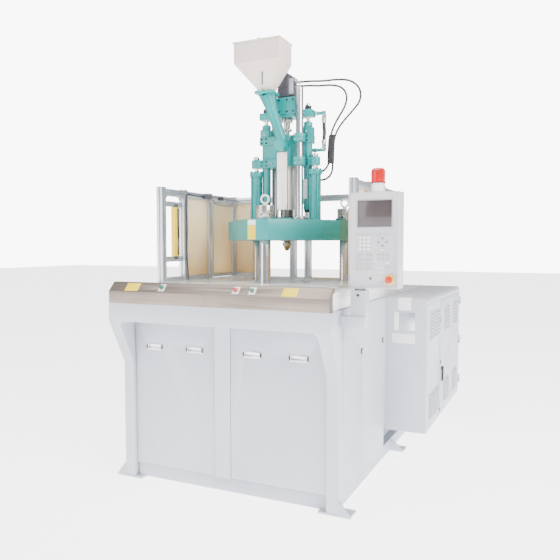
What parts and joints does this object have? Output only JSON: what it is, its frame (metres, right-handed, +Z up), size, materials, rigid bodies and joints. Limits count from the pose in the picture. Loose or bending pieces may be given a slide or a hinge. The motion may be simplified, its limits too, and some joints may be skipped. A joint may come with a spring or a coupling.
{
  "type": "injection moulding machine",
  "caption": "Upright injection moulding machine with a rotary table, tie-bar clamp, hopper-fed injection unit, guards, cabinet and swivelling operator panel.",
  "frame": {"origin": "on the floor, at the centre of the four corner anchor holes", "axes": "+X to the machine's right seen from the operator, +Y to its back, +Z up"},
  "size_m": [1.779, 2.396, 2.814],
  "materials": {
    "grey_paint": "satin powder coat",
    "teal_paint": "gloss machine enamel",
    "teal_cast": "gloss enamel over casting",
    "stainless": "long brushed grain",
    "deck_white": "smooth white enamel",
    "ground_steel": "ground and hard chromed",
    "machined_steel": "turned",
    "oiled_steel": "oiled",
    "bronze": "turned bearing bronze",
    "extrusion": "clear anodised",
    "amber_sheet": "tinted polycarbonate",
    "curtain_yellow": "gloss",
    "dark_motor": "satin",
    "valve_grey": "satin",
    "panel_grey": "fine texture",
    "screen_glass": "gloss",
    "red_plastic": "gloss",
    "green_plastic": "gloss",
    "chute_paint": "gloss enamel",
    "hopper_steel": "satin cream",
    "black_plastic": "moulded",
    "hose_rubber": "braided hose cover",
    "brass_fit": "turned",
    "mica": "clad heater band"
  },
  "bodies": {
    "root": {"base_frame": "grey_paint", "front_portal": "grey_paint", "front_doors": "grey_paint", "door_handles": "ground_steel", "side_covers": "grey_paint", "rear_covers": "grey_paint", "bed_plate": "oiled_steel", "deck": "deck_white", "apron": "stainless", "tie_bar_bushes": "bronze", "slew_bearing": "oiled_steel", "table_motor": "dark_motor", "clamp_cylinder": "teal_cast", "oil_tank": "grey_paint", "pump_set": "dark_motor", "valve_block": "machined_steel", "guard_frames": "extrusion", "guard_sheets": "amber_sheet", "light_curtain": "curtain_yellow", "cabinet_shell": "grey_paint", "hmi_arm": "grey_paint"},
    "table": {"rotary_table": "deck_white", "ring_gear": "oiled_steel"},
    "pinion": {"table_pinion": "oiled_steel"},
    "clamp": {"upper_platen": "teal_cast", "tie_bars": "ground_steel", "tie_bar_nuts": "machined_steel", "eyebolts": "machined_steel", "lower_crosshead": "teal_cast", "clamp_ram": "ground_steel", "guide_bars": "ground_steel", "carriage_cylinders": "teal_paint"},
    "carriage": {"carriage_rods": "ground_steel", "injection_housing": "teal_cast", "barrel": "oiled_steel", "nozzle": "brass_fit", "heater_bands": "mica", "barrel_guard": "stainless", "injection_cylinders": "teal_paint", "feed_chute": "chute_paint", "hopper": "hopper_steel", "motor_hose_outer": "hose_rubber", "motor_hose_inner": "hose_rubber", "cylinder_hose": "hose_rubber"},
    "injector": {"crosshead": "teal_cast", "injection_rods": "ground_steel", "hydraulic_motor": "dark_motor"},
    "screw": {"screw": "machined_steel", "drive_coupling": "machined_steel"},
    "lid": {"hopper_lid": "hopper_steel"},
    "panel": {"hmi_box": "panel_grey", "hmi_screen": "screen_glass", "beacon": "red_plastic"},
    "estop": {"estop_button": "red_plastic"},
    "left_green": {"left_green_button": "green_plastic"},
    "red": {"red_button": "red_plastic"},
    "right_green": {"right_green_button": "green_plastic"},
    "guard_door": {"guard_door": "extrusion"},
    "cabinet_door": {"cabinet_door": "grey_paint"},
    "lever": {"cabinet_lever": "black_plastic"}
  },
  "joints": [
    {"name": "clamp_slide", "type": "slide", "parent": "root", "child": "clamp", "axis": [0, 0, 1], "range_m": [-0.12, 0]},
    {"name": "table_turn", "type": "hinge", "parent": "root", "child": "table", "pos_m": [0, -0.58, 1.15], "axis": [0, 0, 1], "range_deg": [0, 180]},
    {"name": "pinion_turn", "type": "hinge", "parent": "root", "child": "pinion", "pos_m": [-0.27171, -0.85171, 1.1], "axis": [0, 0, 1], "range_deg": [-900, 0]},
    {"name": "carriage_slide", "type": "slide", "parent": "clamp", "child": "carriage", "axis": [0, 0, 1], "range_m": [0, 0.15]},
    {"name": "inject_slide", "type": "slide", "parent": "carriage", "child": "injector", "axis": [0, 0, 1], "range_m": [-0.03, 0.11], "deforming": ["motor_hose_outer", "motor_hose_inner", "cylinder_hose"]},
    {"name": "screw_turn", "type": "hinge", "parent": "injector", "child": "screw", "pos_m": [0, -0.232, 2.3], "axis": [0, 0, 1], "continuous": true},
    {"name": "lid_hinge", "type": "hinge", "parent": "carriage", "child": "lid", "pos_m": [-0.104, -0.2865, 2.791], "axis": [-1, 0, 0], "range_deg": [0, 100]},
    {"name": "panel_swivel", "type": "hinge", "parent": "root", "child": "panel", "pos_m": [0.803, -1.09, 1.222], "axis": [0, 0, 1], "range_deg": [-60, 90]},
    {"name": "estop_press", "type": "slide", "parent": "panel", "child": "estop", "axis": [0, 1, 0], "range_m": [0, 0.006], "stiffness_N_per_m": 900},
    {"name": "left_green_press", "type": "slide", "parent": "root", "child": "left_green", "axis": [0, 0.7274, -0.6862], "range_m": [0, 0.004], "stiffness_N_per_m": 900},
    {"name": "red_press", "type": "slide", "parent": "root", "child": "red", "axis": [0, 0.7274, -0.6862], "range_m": [0, 0.004], "stiffness_N_per_m": 900},
    {"name": "right_green_press", "type": "slide", "parent": "root", "child": "right_green", "axis": [0, 0.7274, -0.6862], "range_m": [0, 0.004], "stiffness_N_per_m": 900},
    {"name": "guard_door_hinge", "type": "hinge", "parent": "root", "child": "guard_door", "pos_m": [-0.6935, 0.181, 1.5], "axis": [0, 0, -1], "range_deg": [0, 100]},
    {"name": "cabinet_door_hinge", "type": "hinge", "parent": "root", "child": "cabinet_door", "pos_m": [0.981, 1.111, 0.65], "axis": [0, 0, 1], "range_deg": [0, 110]},
    {"name": "lever_turn", "type": "hinge", "parent": "cabinet_door", "child": "lever", "pos_m": [0.972, 0.33, 0.56], "axis": [1, 0, 0], "range_deg": [0, 90]}
  ],
  "couplings": [
    {"joint": "pinion_turn", "follows": "table_turn", "ratio": -5}
  ]
}
